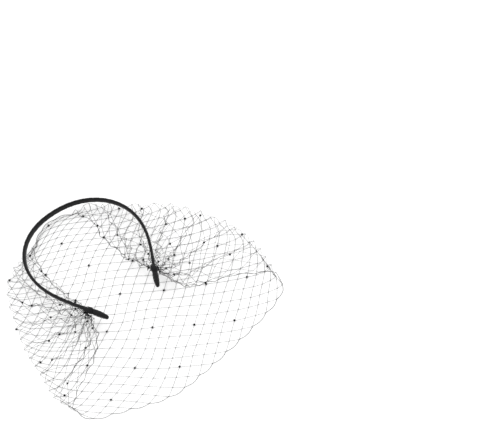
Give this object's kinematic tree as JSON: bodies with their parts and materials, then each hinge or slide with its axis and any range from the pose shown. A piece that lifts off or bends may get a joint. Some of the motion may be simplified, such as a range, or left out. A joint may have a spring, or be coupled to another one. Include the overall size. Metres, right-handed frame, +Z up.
{
  "type": "birdcage veil on an alice band",
  "caption": "Thin ribbon-bound alice band with a wide-mesh dotted net gathered to its two ends, laid flat with both sides folded over.",
  "frame": {"origin": "middle of the veil's footprint, on the surface it lies on", "axes": "+Z up from the surface, +X along the line between the band's two ends to the side of its right end, +Y from the band's ends towards its crown"},
  "size_m": [0.2792, 0.2532, 0.0285],
  "materials": {
    "ribbon": "satin ribbon, black",
    "thread": "matt sewing thread, black",
    "veiling": "nylon net veiling with chenille dots, black"
  },
  "bodies": {
    "root": {"headband": "ribbon", "tip_wrap_left": "ribbon", "tip_wrap_right": "ribbon", "gather_binding_left": "thread", "gather_binding_right": "thread", "net_veil": "veiling"}
  },
  "joints": []
}
